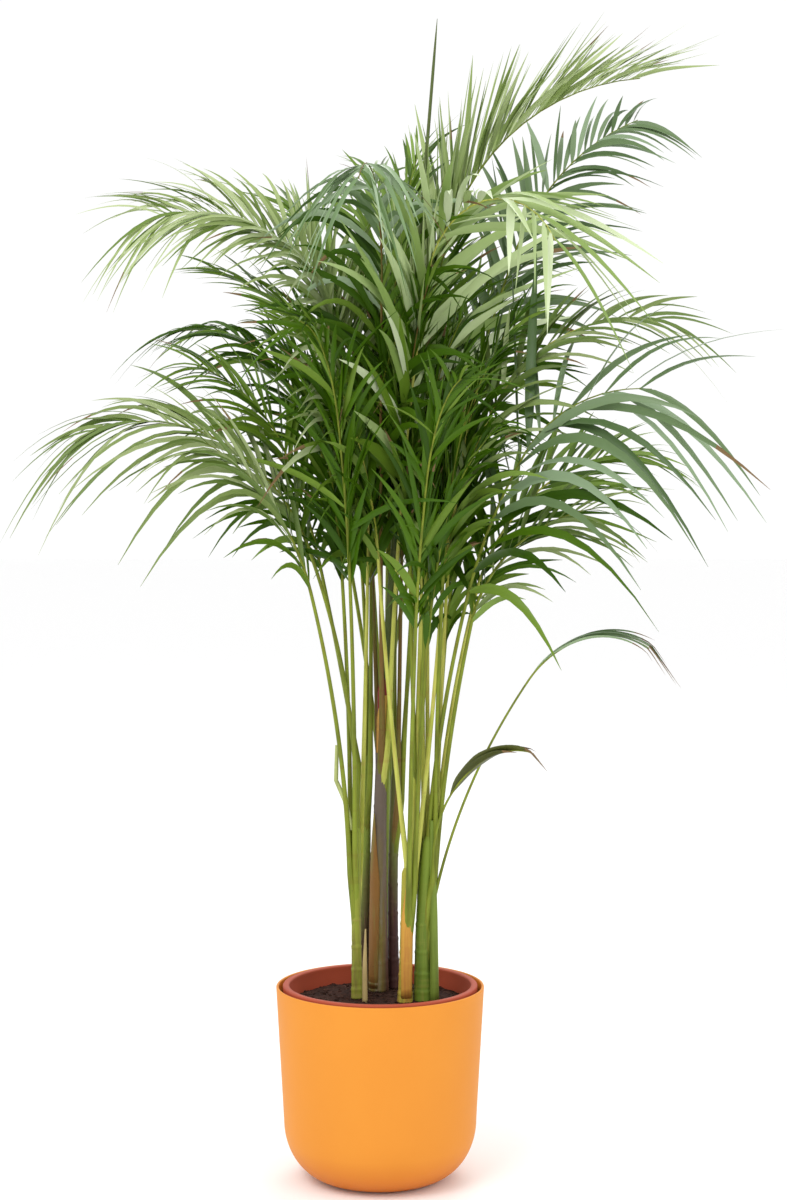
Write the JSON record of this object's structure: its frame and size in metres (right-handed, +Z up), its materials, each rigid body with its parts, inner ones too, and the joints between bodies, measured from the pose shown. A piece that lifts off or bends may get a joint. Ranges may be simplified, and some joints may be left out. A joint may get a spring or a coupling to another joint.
{
  "type": "potted areca palm",
  "caption": "Clump-forming feather palm with slim canes and arching fronds in a tapered nursery pot, set in a round-footed orange cover pot.",
  "frame": {"origin": "middle of the cover pot's flat underside", "axes": "+Z up out of the pot, -Y toward the viewer of the picture, +X to the viewer's right"},
  "size_m": [0.8276, 0.749, 1.2815],
  "materials": {
    "cover_pot": "matt moulded",
    "nursery_pot": "matt moulded",
    "soil": "loose and crumbly",
    "cane_left": "smooth, ringed",
    "cane_back_left": "smooth, ringed",
    "cane_main": "waxy bloom, ringed",
    "cane_dark": "smooth, ringed",
    "cane_yellow": "smooth, ringed",
    "cane_green": "smooth, ringed",
    "cane_back": "smooth, ringed",
    "petiole": "smooth plant skin",
    "blade": "satin leaf",
    "spear_leaf": "satin leaf"
  },
  "bodies": {
    "root": {"cover_pot": "cover_pot", "nursery_pot": "nursery_pot", "soil": "soil", "cane_left": "cane_left", "cane_back_left": "cane_back_left", "cane_main": "cane_main", "cane_dark": "cane_dark", "cane_yellow": "cane_yellow", "cane_green": "cane_green", "cane_back": "cane_back", "petiole_top_right": "petiole", "petiole_top_left": "petiole", "petiole_wide_right": "petiole", "petiole_far_left": "petiole", "petiole_front_top": "petiole", "petiole_front_right": "petiole", "petiole_back_right": "petiole", "petiole_mid_right": "petiole", "petiole_low_left": "petiole", "petiole_right": "petiole", "petiole_mid_left": "petiole", "petiole_upper_left": "petiole", "petiole_low_right": "petiole", "petiole_crown_left": "petiole", "petiole_front_left": "petiole", "petiole_front_low": "petiole", "petiole_back_top": "petiole", "petiole_back_low": "petiole", "petiole_back_left_low": "petiole", "petiole_back_mid": "petiole", "petiole_right_back": "petiole", "petiole_young_right": "petiole", "petiole_young_low": "petiole", "blade_top_right": "blade", "blade_top_left": "blade", "blade_wide_right": "blade", "blade_far_left": "blade", "blade_front_top": "blade", "blade_front_right": "blade", "blade_back_right": "blade", "blade_mid_right": "blade", "blade_low_left": "blade", "blade_right": "blade", "blade_mid_left": "blade", "blade_upper_left": "blade", "blade_low_right": "blade", "blade_crown_left": "blade", "blade_front_left": "blade", "blade_front_low": "blade", "blade_back_top": "blade", "blade_back_low": "blade", "blade_back_left_low": "blade", "blade_back_mid": "blade", "blade_right_back": "blade", "blade_young_right": "blade", "blade_young_low": "blade", "spear_leaf": "spear_leaf"}
  },
  "joints": []
}
